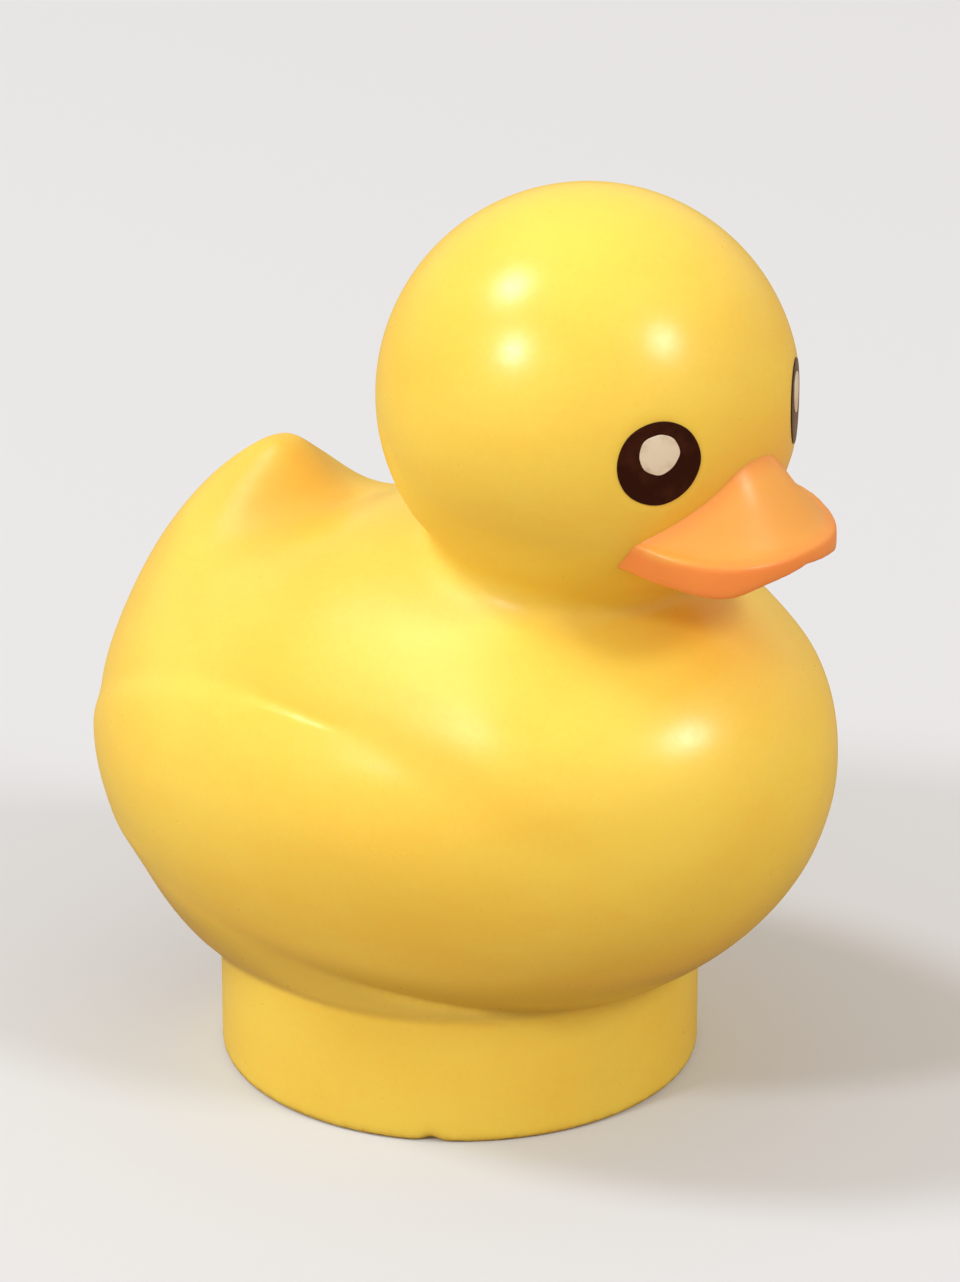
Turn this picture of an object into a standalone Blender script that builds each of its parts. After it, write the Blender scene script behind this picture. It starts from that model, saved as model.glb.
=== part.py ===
"""A small moulded duck standing on a round foot.

The body is one yellow moulding with a ball head, an upturned tail and a round foot with a socket.
The bill is a second, orange moulding that seats on the head. Each eye is a printed dark disc with
a pale spot, on a flat of the head. Lengths are in metres, +Z is up and the duck faces -Y.
"""

import math

import bmesh
import bpy
from mathutils import Matrix, Vector

MM = 0.001

# Foot
FOOT_RADIUS = 4.0 * MM
FOOT_EDGE_ROUND = 0.08 * MM
SOCKET_RADIUS = 2.43 * MM
SOCKET_DEPTH = 2.0 * MM

# Body, a pitched ellipsoid whose chest is higher than its rear
BODY_HALF_WIDTH = 5.0 * MM
BODY_HALF_LENGTH = 6.88 * MM
BODY_HALF_HEIGHT = 4.62 * MM
BODY_CENTRE_HEIGHT = 5.53 * MM
BODY_PITCH = math.radians(8.66)

# Shelf that runs along each flank under the tail, and fades out towards the chest
SHELF_HEIGHT = 1.96 * MM
SHELF_SAG = 3.1 * MM
SHELF_POWER = 2.34

# Flank: how far the bowl rolls in under the shelf, and the back is set in over it, by share of reach
ROLL = (
    (-0.75, 0.0 * MM),
    (-0.55, 0.10 * MM),
    (-0.33, 0.27 * MM),
    (0.0, 0.27 * MM),
    (0.3, 0.17 * MM),
    (0.6, 0.05 * MM),
    (0.8, 0.0 * MM),
)
ROLL_HEIGHT = 1.9 * MM
RECESS = (
    (-0.75, 0.0 * MM),
    (-0.55, 0.14 * MM),
    (-0.33, 0.31 * MM),
    (0.0, 0.33 * MM),
    (0.3, 0.27 * MM),
    (0.6, 0.18 * MM),
    (1.0, 0.14 * MM),
)
RECESS_HEIGHT = 3.0 * MM
RECESS_POWER = 1.3

# Chest: how far it stands out at mid height, and is drawn in under the neck
CHEST_OUT = 0.06 * MM
CHEST_IN = 0.3 * MM
CHEST_START = 2.8 * MM
CHEST_BLEND = 2.2 * MM
CHEST_MIDDLE = 0.35
CHEST_TOP = 0.45
CHEST_TOP_BLEND = 0.5
NOSE_BLEND = 3.0

# Back: how far the saddle in front of the tail lowers the ellipsoid, at stations along the duck
BACK_DIP = (
    (-3.0 * MM, 0.0 * MM),
    (-0.5 * MM, -0.35 * MM),
    (1.2 * MM, -0.48 * MM),
    (2.0 * MM, -0.58 * MM),
    (2.6 * MM, -0.60 * MM),
    (3.1 * MM, -0.53 * MM),
    (3.6 * MM, -0.33 * MM),
    (4.2 * MM, -0.12 * MM),
    (6.8 * MM, 0.0 * MM),
)
SADDLE_REACH = 5.2 * MM

# Tail: how far it rises over the ellipsoid on the mirror plane, and its half width, by station
TAIL_RISE = (
    (2.4 * MM, 0.0 * MM),
    (2.8 * MM, 0.30 * MM),
    (3.2 * MM, 0.71 * MM),
    (3.55 * MM, 1.00 * MM),
    (3.85 * MM, 1.08 * MM),
    (4.7 * MM, 0.98 * MM),
    (5.67 * MM, 0.80 * MM),
    (6.3 * MM, 0.55 * MM),
    (6.8 * MM, 0.0 * MM),
)
TAIL_REACH = (
    (2.4 * MM, 1.0 * MM),
    (3.2 * MM, 1.55 * MM),
    (3.6 * MM, 2.05 * MM),
    (3.95 * MM, 2.40 * MM),
    (4.7 * MM, 2.5 * MM),
    (5.67 * MM, 2.35 * MM),
    (6.8 * MM, 1.8 * MM),
)

# Skirt between the foot and the rear of the body
SKIRT_LIP = 0.04 * MM
SKIRT_SIDE_HEIGHT = 2.25 * MM
SKIRT_REAR_DROP = 1.15 * MM
SKIRT_REAR_POWER = 2.3
SKIRT_FRONT_DROP = 0.12 * MM
SKIRT_BULGE = 0.29 * MM
SKIRT_TOP_HEIGHT = 3.8 * MM
SKIRT_TOP_FLARE_SIDE = 0.37 * MM
SKIRT_TOP_FLARE_REAR = 2.5 * MM
SKIRT_TOP_FLARE_FRONT = -0.9 * MM

# Head and neck
HEAD_RADIUS = 3.385 * MM
HEAD_FORWARD = 2.665 * MM
HEAD_SINK = 1.15 * MM
NECK_FILLET_FRONT = 1.2 * MM
NECK_FILLET_REAR = 0.22 * MM

# Eyes
EYE_TURN = math.radians(32.0)
EYE_LIFT = math.radians(1.0)
EYE_FLAT_DEPTH = 0.09 * MM
EYE_RADIUS = 0.69 * MM
SPOT_RADIUS = 0.33 * MM
SPOT_RISE = 0.15 * MM
PRINT_THICKNESS = 0.04 * MM

# Bill. The tables give drops below the head's centre by angle round the bill's plan from a mouth
# corner to the front, and the root's lift on the head by angle round from straight ahead.
BILL_HALF_WIDTH = 1.9 * MM
BILL_LENGTH = 2.06 * MM
CORNER_AHEAD = 2.375 * MM
PLAN_POWER = 2.3
LIP_ROUND = 0.1 * MM
LIP_POWER = 0.55
TOP_DROP = (
    (0.0, 1.339 * MM),
    (25.0, 1.439 * MM),
    (45.0, 1.509 * MM),
    (90.0, 1.509 * MM),
)
LOW_DROP = (
    (0.0, 1.869 * MM),
    (20.0, 1.969 * MM),
    (45.0, 2.079 * MM),
    (65.0, 1.899 * MM),
    (90.0, 1.779 * MM),
)
MOUTH_SLANT = 0.69
BILL_ROOT = (
    (0.0, -3.7),
    (5.0, -4.2),
    (8.7, -5.7),
    (13.6, -9.2),
    (19.2, -13.0),
    (25.9, -16.8),
    (35.4, -21.9),
    (42.0, -25.0),
)
ROOT_TURN = math.radians(35.5)

# Two control points of the bill's top: share of the way out, share of the drop there, and how much
# less the drop is on the midline
TOP_HOLLOW = (0.3, 0.6, 0.46)
TOP_FLAT = (0.7, 0.98, 0.12)
RIDGE_POWER = 3
PEG_RADIUS = 0.6 * MM
PEG_LENGTH = 0.9 * MM
PEG_LIFT = math.radians(-17.0)

# Clearance between pieces that touch
SEAM = 0.02 * MM

# Mesh fineness
BODY_STATIONS = 60
LOWER_STEPS = 12
UPPER_STEPS = 16
HEAD_SEGMENTS = 56
FOOT_SEGMENTS = 64
SKIRT_STEPS = 4
NECK_SEGMENTS = 48
BILL_STATIONS = 36
TOP_STEPS = 8
LIP_STEPS = 8
DISC_SEGMENTS = 40

YELLOW = (0.93, 0.62, 0.075, 1.0)
ORANGE = (0.90, 0.32, 0.06, 1.0)
BLACK = (0.02, 0.006, 0.004, 1.0)
PALE = (0.70, 0.63, 0.54, 1.0)


def remove_everything():
    """Empty the scene."""
    for obj in list(bpy.data.objects):
        bpy.data.objects.remove(obj, do_unlink=True)


def plastic(name, colour, roughness):
    """Make a plain plastic material."""
    mat = bpy.data.materials.new(name)
    mat.use_nodes = True
    shader = mat.node_tree.nodes["Principled BSDF"]
    shader.inputs["Base Color"].default_value = colour
    shader.inputs["Roughness"].default_value = roughness
    shader.inputs["Metallic"].default_value = 0.0
    return mat


def object_from(name, bm, mat):
    """Turn a bmesh into a smooth-shaded object with one material."""
    bmesh.ops.recalc_face_normals(bm, faces=bm.faces)
    mesh = bpy.data.meshes.new(name)
    bm.to_mesh(mesh)
    bm.free()
    mesh.materials.append(mat)
    mesh.shade_smooth()
    mesh.set_sharp_from_angle(angle=math.radians(35.0))
    obj = bpy.data.objects.new(name, mesh)
    bpy.context.scene.collection.objects.link(obj)
    return obj


def cutter(obj):
    """Mark an object as a tool for another's Boolean."""
    obj.hide_render = True
    obj.display_type = "WIRE"
    return obj


def boolean(target, tool, operation):
    """Join or cut the target with the tool. The exact solver loses faces where balls meet lofts."""
    mod = target.modifiers.new(tool.name, "BOOLEAN")
    mod.operation = operation
    mod.solver = "MANIFOLD"
    mod.object = cutter(tool)


def ease(share):
    """Rise smoothly from 0 to 1."""
    share = min(max(share, 0.0), 1.0)
    return share * share * (3.0 - 2.0 * share)


def loft(rings, close_start=True, close_end=True):
    """Join closed rings of points with quads, and close the ends with fans or a pole."""
    bm = bmesh.new()
    rows = [[bm.verts.new(point) for point in ring] for ring in rings]
    for low, high in zip(rows, rows[1:]):
        count = len(low)
        for i in range(count):
            j = (i + 1) % count
            bm.faces.new((low[i], low[j], high[j], high[i]))
    for row, closed in ((rows[0], close_start), (rows[-1], close_end)):
        if closed:
            centre = bm.verts.new(sum((v.co for v in row), Vector()) / len(row))
            for i in range(len(row)):
                bm.faces.new((row[i], row[(i + 1) % len(row)], centre))
    return bm


# Sections of the pitched ellipsoid by upright planes across the duck
PITCH_SIN = math.sin(BODY_PITCH)
PITCH_COS = math.cos(BODY_PITCH)
SECTION_A = (PITCH_SIN / BODY_HALF_LENGTH) ** 2 + (PITCH_COS / BODY_HALF_HEIGHT) ** 2
SECTION_B = 2 * PITCH_SIN * PITCH_COS * (BODY_HALF_HEIGHT ** -2 - BODY_HALF_LENGTH ** -2)
SECTION_C = (PITCH_COS / BODY_HALF_LENGTH) ** 2 + (PITCH_SIN / BODY_HALF_HEIGHT) ** 2
SECTION_FALL = SECTION_C - SECTION_B ** 2 / (4 * SECTION_A)
BODY_REACH = SECTION_FALL ** -0.5


def section(y):
    """Half width, centre height and half height of the ellipsoid at a station."""
    inside = max(1.0 - y * y * SECTION_FALL, 0.0)
    middle = BODY_CENTRE_HEIGHT - SECTION_B * y / (2 * SECTION_A)
    return BODY_HALF_WIDTH * math.sqrt(inside), middle, math.sqrt(inside / SECTION_A)


def curve(knots, place):
    """Height at a place on a smooth curve through knots of (place, height)."""
    place = min(max(place, knots[0][0]), knots[-1][0])

    def slope(i):
        low, high = max(i - 1, 0), min(i + 1, len(knots) - 1)
        return (knots[high][1] - knots[low][1]) / (knots[high][0] - knots[low][0])

    i = max(k for k in range(len(knots) - 1) if knots[k][0] <= place)
    span = knots[i + 1][0] - knots[i][0]
    t = (place - knots[i][0]) / span
    start = knots[i][1] * (1 + 2 * t) * (1 - t) ** 2 + span * slope(i) * t * (1 - t) ** 2
    end = knots[i + 1][1] * t * t * (3 - 2 * t) - span * slope(i + 1) * t * t * (1 - t)
    return start + end


def bell(share):
    """Fall smoothly from 1 in the middle to 0 at a share of 1."""
    return math.cos(math.pi / 2 * min(abs(share), 1.0)) ** 2


def back_rise(x, y):
    """Height of the back and tail above the ellipsoid, over a point of the duck's plan."""
    saddle = curve(BACK_DIP, y) * bell(x / SADDLE_REACH)
    return saddle + curve(TAIL_RISE, y) * bell(x / curve(TAIL_REACH, y))


def shelf_angle(y, middle, half_height):
    """Angle up the section at which the flank's shelf runs."""
    height = BODY_CENTRE_HEIGHT + SHELF_HEIGHT - SHELF_SAG * abs(y / BODY_REACH) ** SHELF_POWER
    lift = (height - middle) / max(half_height, 1e-9)
    return math.asin(min(max(lift, -0.95), 0.95))


def chest(y, level):
    """How far the chest stands out of the ellipsoid, at a height in its section from -1 to 1."""
    ahead = ease((-y - CHEST_START) / CHEST_BLEND) * min(1.0, NOSE_BLEND * (1.0 - abs(y / BODY_REACH)))
    drawn_in = CHEST_IN * ease((level - CHEST_TOP) / CHEST_TOP_BLEND)
    return ahead * (CHEST_OUT * bell((level - CHEST_MIDDLE) / CHEST_MIDDLE) - drawn_in)


def side_point(y, angle, inward, lift):
    """A point of a section on the +X side, set in from the ellipsoid and lifted by the back's rise."""
    width, middle, height = section(y)
    level = math.sin(angle)
    outward = chest(y, level) - inward * min(1.0, width / (0.4 * BODY_HALF_WIDTH))
    x = (width + outward) * math.cos(angle)
    return Vector((x, y, middle + (height + outward) * level + back_rise(x, y) * lift))


def lower_point(y, angle):
    """A point of the bowl under the shelf."""
    width, middle, height = section(y)
    below = height * (math.sin(shelf_angle(y, middle, height)) - math.sin(angle)) / ROLL_HEIGHT
    return side_point(y, angle, curve(ROLL, y / BODY_REACH) * max(1.0 - below, 0.0) ** 2, 0.0)


def upper_point(y, angle):
    """A point of the back and tail."""
    width, middle, height = section(y)
    shelf = math.sin(shelf_angle(y, middle, height))
    above = max(1.0 - height * (math.sin(angle) - shelf) / RECESS_HEIGHT, 0.0)
    inward = curve(RECESS, y / BODY_REACH) * min(above, 1.0) ** RECESS_POWER
    share = max((math.sin(angle) - shelf) / (1.0 - shelf), 0.0)
    return side_point(y, angle, inward, ease(3.0 * share))


def body_ring(y):
    """One section of the body: the bowl below the shelf, then the back, and the mirrored side."""
    width, middle, height = section(y)
    shelf = shelf_angle(y, middle, height)
    side = []
    for i in range(LOWER_STEPS + 1):
        side.append(lower_point(y, -math.pi / 2 + (shelf + math.pi / 2) * i / LOWER_STEPS))
    for i in range(UPPER_STEPS + 1):
        side.append(upper_point(y, shelf + (math.pi / 2 - shelf) * i / UPPER_STEPS))
    side[0].x = 0.0
    side[-1].x = 0.0
    mirrored = [Vector((-p.x, p.y, p.z)) for p in reversed(side[1:-1])]
    return side + mirrored


def body_bowl(mat):
    """The body without its foot, head and neck."""
    rings = []
    for i in range(1, BODY_STATIONS):
        angle = -math.pi / 2 + math.pi * i / BODY_STATIONS
        rings.append(body_ring(BODY_REACH * math.sin(angle)))
    bm = loft(rings)
    bmesh.ops.remove_doubles(bm, verts=bm.verts, dist=0.002 * MM)
    return object_from("duck_body", bm, mat)


def body_top(x, y):
    """Height of the body's upper surface over a point."""
    width, middle, height = section(y)
    shelf = shelf_angle(y, middle, height)
    low, high = shelf, math.pi / 2
    for _ in range(24):
        angle = (low + high) / 2
        if upper_point(y, angle).x > abs(x):
            low = angle
        else:
            high = angle
    return upper_point(y, low).z


def head_centre():
    """The ball of the head, sunk into the body by its named depth."""
    y = -HEAD_FORWARD
    return Vector((0.0, y, body_top(0.0, y) + HEAD_RADIUS - HEAD_SINK))


def turned(azimuth, lift):
    """A unit direction at an angle round from straight ahead and an angle up."""
    return Vector((math.sin(azimuth) * math.cos(lift), -math.cos(azimuth) * math.cos(lift), math.sin(lift)))


def head(mat):
    """The ball of the head with a flat for each eye."""
    bm = bmesh.new()
    bmesh.ops.create_uvsphere(bm, u_segments=HEAD_SEGMENTS, v_segments=HEAD_SEGMENTS // 2, radius=HEAD_RADIUS)
    for side in (-1.0, 1.0):
        normal = turned(side * EYE_TURN, EYE_LIFT)
        place = normal * (HEAD_RADIUS - EYE_FLAT_DEPTH)
        parts = bm.verts[:] + bm.edges[:] + bm.faces[:]
        bmesh.ops.bisect_plane(bm, geom=parts, plane_co=place, plane_no=normal, clear_outer=True)
        rim = [edge for edge in bm.edges if edge.is_boundary]
        bmesh.ops.contextual_create(bm, geom=rim)
    bmesh.ops.translate(bm, verts=bm.verts, vec=head_centre())
    return object_from("head_ball", bm, mat)


def neck_ring_distance(direction):
    """Distance from the head's axis at which its underside meets the body, in one direction."""
    centre = head_centre()
    low, high = 0.2 * HEAD_RADIUS, 0.98 * HEAD_RADIUS
    for _ in range(24):
        reach = (low + high) / 2
        spot = centre + direction * reach
        ball = centre.z - math.sqrt(HEAD_RADIUS ** 2 - reach ** 2)
        if ball < body_top(spot.x, spot.y):
            low = reach
        else:
            high = reach
    return low


def neck(mat):
    """The hollow fillet between head and body, wide in front and almost sharp behind."""
    centre = head_centre()
    steps = 6
    bury = 0.16 * MM
    rings = [[] for _ in range(steps + 3)]
    for i in range(NECK_SEGMENTS):
        turn = 2 * math.pi * i / NECK_SEGMENTS
        direction = Vector((math.sin(turn), -math.cos(turn), 0.0))
        share = (1.0 + math.cos(turn)) / 2
        size = NECK_FILLET_REAR + (NECK_FILLET_FRONT - NECK_FILLET_REAR) * ease(share * 1.4)
        reach = neck_ring_distance(direction)
        polar = math.asin(reach / HEAD_RADIUS) + size / HEAD_RADIUS
        inner = HEAD_RADIUS - bury / 2
        top = centre + direction * (inner * math.sin(polar)) - Vector((0, 0, inner * math.cos(polar)))
        spot = centre + direction * (reach + size)
        foot = Vector((spot.x, spot.y, body_top(spot.x, spot.y) - bury / 2))
        corner = centre + direction * reach
        corner.z = body_top(corner.x, corner.y)
        for k in range(steps + 1):
            t = k / steps
            point = top * (1 - t) ** 2 + corner * (2 * t * (1 - t)) + foot * t * t
            rings[k + 1].append(point)
        rings[0].append(centre + direction * (0.4 * reach) - Vector((0, 0, 0.5 * HEAD_RADIUS)))
        rings[-1].append(Vector((corner.x, corner.y, corner.z - 0.6 * MM)))
    return object_from("neck_fillet", loft(rings), mat)


def skirt_height(y):
    """Height of the skirt's lower edge, highest at the sides and lowest behind."""
    behind = min(max(y / FOOT_RADIUS, 0.0), 1.0) ** SKIRT_REAR_POWER
    ahead = min(max(-y / FOOT_RADIUS, 0.0), 1.0) ** 2
    return SKIRT_SIDE_HEIGHT - SKIRT_REAR_DROP * behind - SKIRT_FRONT_DROP * ahead


def skirt(mat):
    """The flared skirt that carries the rear of the body over the foot."""
    rings = [[] for _ in range(SKIRT_STEPS + 2)]
    reach_rear = FOOT_RADIUS + SKIRT_TOP_FLARE_REAR
    reach_front = FOOT_RADIUS + SKIRT_TOP_FLARE_FRONT
    for i in range(FOOT_SEGMENTS):
        turn = 2 * math.pi * i / FOOT_SEGMENTS
        x, y = math.sin(turn), -math.cos(turn)
        radius = FOOT_RADIUS + SKIRT_LIP
        low = Vector((radius * x, radius * y, skirt_height(radius * y)))
        along = (reach_rear - reach_front) / 2 + y * (reach_rear + reach_front) / 2
        high = Vector(((FOOT_RADIUS + SKIRT_TOP_FLARE_SIDE) * x, along, SKIRT_TOP_HEIGHT))
        rings[0].append(Vector((0.9 * low.x, 0.9 * low.y, low.z + 0.02 * MM)))
        for k in range(SKIRT_STEPS + 1):
            up = k / SKIRT_STEPS
            # The share of the bulge is 1 at its largest, a third of the way up.
            out = SKIRT_BULGE * max(y, 0.0) * 6.75 * up * (1 - up) ** 2
            rings[k + 1].append(low.lerp(high, up) + Vector((out * x, out * y, 0.0)))
    return object_from("skirt", loft(rings), mat)


def foot(mat):
    """The round foot, turned from its outline and running up into the body."""
    width, middle, height = section(-FOOT_RADIUS)
    top = middle - height + 0.25 * MM
    outline = [(FOOT_RADIUS - FOOT_EDGE_ROUND, 0.0)]
    for i in range(1, 4):
        angle = math.pi / 2 * i / 3
        outline.append((
            FOOT_RADIUS - FOOT_EDGE_ROUND * (1 - math.sin(angle)),
            FOOT_EDGE_ROUND * (1 - math.cos(angle)),
        ))
    outline.append((FOOT_RADIUS, top))
    rings = [circle(radius, z, FOOT_SEGMENTS) for radius, z in outline]
    return object_from("foot_ring", loft(rings), mat)


def circle(radius, z, count):
    """Points round the upright axis."""
    turns = [2 * math.pi * i / count for i in range(count)]
    return [Vector((radius * math.sin(turn), -radius * math.cos(turn), z)) for turn in turns]


def cylinder(name, radius, start, direction, length, mat, count=DISC_SEGMENTS):
    """A cylinder from a start point along a direction."""
    turn = direction.to_track_quat("Z", "Y").to_matrix().to_4x4()
    bm = bmesh.new()
    bmesh.ops.create_cone(bm, cap_ends=True, segments=count, radius1=radius, radius2=radius, depth=length)
    bmesh.ops.transform(bm, verts=bm.verts, matrix=Matrix.Translation((0, 0, length / 2)))
    bmesh.ops.transform(bm, verts=bm.verts, matrix=Matrix.Translation(start) @ turn)
    return object_from(name, bm, mat)


def duck_body(mat):
    """The whole yellow moulding."""
    body = body_bowl(mat)
    boolean(body, foot(mat), "UNION")
    boolean(body, skirt(mat), "UNION")
    boolean(body, head(mat), "UNION")
    boolean(body, neck(mat), "UNION")
    below = Vector((0.0, 0.0, -MM))
    socket = cylinder("socket", SOCKET_RADIUS, below, Vector((0, 0, 1)), SOCKET_DEPTH + MM, mat)
    boolean(body, socket, "DIFFERENCE")
    direction = turned(0.0, PEG_LIFT)
    bottom = head_centre() + direction * (HEAD_RADIUS - PEG_LENGTH - SEAM)
    pocket = cylinder("peg_pocket", PEG_RADIUS + SEAM, bottom, direction, PEG_LENGTH + MM, mat)
    boolean(body, pocket, "DIFFERENCE")
    return body


def bill_profile(turn, back=0.0):
    """One closed outline of the bill, from the head over the top, round the lip and back below."""
    centre = head_centre()
    across, ahead = -math.cos(turn), max(math.sin(turn), 0.0)
    plan_x = math.copysign(abs(across) ** (2 / PLAN_POWER), across)
    plan_y = ahead ** (2 / PLAN_POWER)
    share = math.degrees(math.atan2(plan_y, abs(plan_x)))
    lip_top, lip_low = centre.z - curve(TOP_DROP, share), centre.z - curve(LOW_DROP, share)
    edge_x = (BILL_HALF_WIDTH - LIP_ROUND) * plan_x
    edge_y = centre.y - CORNER_AHEAD - (BILL_LENGTH - LIP_ROUND) * plan_y
    edge = Vector((edge_x, edge_y, 0.0))
    out_x = math.copysign(abs(plan_x) ** (PLAN_POWER - 1) / BILL_HALF_WIDTH, plan_x)
    outward = Vector((out_x, -plan_y ** (PLAN_POWER - 1) / BILL_LENGTH, 0.0)).normalized()
    azimuth = across * ROOT_TURN
    lift = math.radians(curve(BILL_ROOT, abs(math.degrees(azimuth))))
    root = centre + turned(azimuth, lift) * HEAD_RADIUS
    brow = Vector((edge.x, edge.y, lip_top))
    hollow, flat = [
        Vector((*root.lerp(brow, way).xy, root.z + (brow.z - root.z) * (drop - less * plan_y ** RIDGE_POWER)))
        for way, drop, less in (TOP_HOLLOW, TOP_FLAT)
    ]
    slant = MOUTH_SLANT * max(0.0, 1.0 - 2.0 * ahead)
    half = (lip_top - lip_low) / 2
    points = [centre + turned(azimuth, lift) * (0.8 * HEAD_RADIUS)]
    for k in range(TOP_STEPS + 1):
        t = k / TOP_STEPS
        near = root * (1 - t) ** 3 + hollow * (3 * t * (1 - t) ** 2)
        point = near + flat * (3 * t * t * (1 - t)) + brow * t ** 3
        point.y -= slant * t * half
        points.append(point)
    for k in range(1, LIP_STEPS + 1):
        angle = math.pi / 2 - math.pi * k / LIP_STEPS
        off = half * math.copysign(abs(math.sin(angle)) ** LIP_POWER, math.sin(angle))
        point = edge + outward * (LIP_ROUND * max(math.cos(angle), 0.0) ** LIP_POWER)
        points.append(Vector((point.x, point.y - slant * off, (lip_top + lip_low) / 2 + off)))
    under_y = centre.y - 0.75 * HEAD_RADIUS * (0.55 + 0.45 * ahead)
    points.append(Vector((edge.x * 0.75, under_y, lip_low + SEAM)))
    return [point + Vector((0.0, back, 0.0)) for point in points]


def bill(mat):
    """The orange bill, cut to the head's ball and carrying the hidden peg."""
    rings = [bill_profile(0.0, 4 * LIP_ROUND)]
    rings += [bill_profile(math.pi * i / BILL_STATIONS) for i in range(BILL_STATIONS + 1)]
    rings.append(bill_profile(math.pi, 4 * LIP_ROUND))
    obj = object_from("bill", loft(rings), mat)
    bm = bmesh.new()
    bmesh.ops.create_uvsphere(
        bm, u_segments=HEAD_SEGMENTS, v_segments=HEAD_SEGMENTS // 2, radius=HEAD_RADIUS + SEAM)
    bmesh.ops.translate(bm, verts=bm.verts, vec=head_centre())
    boolean(obj, object_from("bill_seat", bm, mat), "DIFFERENCE")
    direction = turned(0.0, PEG_LIFT)
    bottom = head_centre() + direction * (HEAD_RADIUS - PEG_LENGTH)
    peg = cylinder("bill_peg", PEG_RADIUS, bottom, direction, PEG_LENGTH + 0.3 * MM, mat)
    boolean(obj, peg, "UNION")
    return obj


def eye(name, side, dark, pale):
    """One printed eye: a dark disc on the head's flat and a pale spot on the disc."""
    normal = turned(side * EYE_TURN, EYE_LIFT)
    place = head_centre() + normal * (HEAD_RADIUS - EYE_FLAT_DEPTH + SEAM)
    cylinder("eye_print_" + name, EYE_RADIUS, place, normal, PRINT_THICKNESS, dark)
    up = Vector((0, 0, 1)) - normal * normal.z
    place = place + normal * (PRINT_THICKNESS + SEAM) + up.normalized() * SPOT_RISE
    cylinder("eye_spot_" + name, SPOT_RADIUS, place, normal, PRINT_THICKNESS, pale)


def stand_on_origin():
    """Move the whole duck so that its origin is the middle of its box, on the table."""
    graph = bpy.context.evaluated_depsgraph_get()
    ends = []
    for obj in bpy.context.scene.objects:
        if not obj.hide_render:
            mesh = obj.evaluated_get(graph).to_mesh()
            ends += [vertex.co.y for vertex in mesh.vertices]
    shift = -(min(ends) + max(ends)) / 2
    for obj in bpy.context.scene.objects:
        obj.location.y += shift


def main():
    """Build the duck."""
    remove_everything()
    yellow = plastic("yellow_plastic", YELLOW, 0.32)
    orange = plastic("orange_plastic", ORANGE, 0.32)
    black = plastic("black_print", BLACK, 0.3)
    pale = plastic("pale_print", PALE, 0.4)
    duck_body(yellow)
    bill(orange)
    eye("right", -1.0, black, pale)
    eye("left", 1.0, black, pale)
    stand_on_origin()


main()
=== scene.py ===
"""The looks of a small moulded duck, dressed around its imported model.

Every piece is modelled in millimetres, about the upright axis of the duck's foot, and is carried to
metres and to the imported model's place once it is finished. +Z is up and the duck faces -Y.
"""

import logging
import math
from dataclasses import dataclass, field, replace
from enum import Enum

import bpy
import numpy as np
from mathutils import Matrix, Vector

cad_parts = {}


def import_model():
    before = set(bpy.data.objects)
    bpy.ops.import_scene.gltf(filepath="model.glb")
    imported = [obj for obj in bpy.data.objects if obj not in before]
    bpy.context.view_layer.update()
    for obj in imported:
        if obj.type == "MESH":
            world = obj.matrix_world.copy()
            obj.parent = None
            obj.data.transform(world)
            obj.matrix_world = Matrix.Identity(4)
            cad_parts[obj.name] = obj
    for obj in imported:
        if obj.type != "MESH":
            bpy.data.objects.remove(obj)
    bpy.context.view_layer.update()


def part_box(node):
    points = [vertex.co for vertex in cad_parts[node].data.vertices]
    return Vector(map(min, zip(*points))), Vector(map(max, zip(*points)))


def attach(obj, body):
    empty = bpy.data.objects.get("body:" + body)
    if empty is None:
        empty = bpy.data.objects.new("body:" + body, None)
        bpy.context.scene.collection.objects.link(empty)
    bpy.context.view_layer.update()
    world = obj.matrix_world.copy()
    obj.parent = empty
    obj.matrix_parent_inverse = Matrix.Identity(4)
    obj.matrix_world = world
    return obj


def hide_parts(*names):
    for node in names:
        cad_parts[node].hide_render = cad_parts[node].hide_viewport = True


MM = 0.001
LOG = logging.getLogger("duck")

Knots = tuple[tuple[float, float], ...]
Ends = tuple[float, float]
Triple = tuple[float, float, float]
Colour = tuple[float, float, float, float]
Link = bpy.types.NodeSocket


class Side(Enum):
    """The duck's own sides, with the sign of X on each."""

    RIGHT = -1.0
    LEFT = 1.0


# Shapes of the moulding


def ease(share: np.ndarray) -> np.ndarray:
    """Rise smoothly from 0 to 1 as the share does.

    Args:
        share: Where each point is on the way, cut to between 0 and 1.

    Returns:
        The smooth rise at each point.
    """
    share = np.clip(share, 0.0, 1.0)
    return share * share * (3.0 - 2.0 * share)


def between(value: np.ndarray, ends: Ends) -> np.ndarray:
    """Go smoothly from 0 to 1 as a value goes from one end to the other.

    Args:
        value: The value at each point.
        ends: Where the result is 0 and where it is 1. The second may be the smaller one.

    Returns:
        The smooth rise at each point.
    """
    start, end = ends
    return ease((value - start) / (end - start))


def bell(share: np.ndarray) -> np.ndarray:
    """Fall smoothly from 1 in the middle to 0 at a share of 1."""
    return np.cos(math.pi / 2 * np.clip(np.abs(share), 0.0, 1.0)) ** 2


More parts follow.
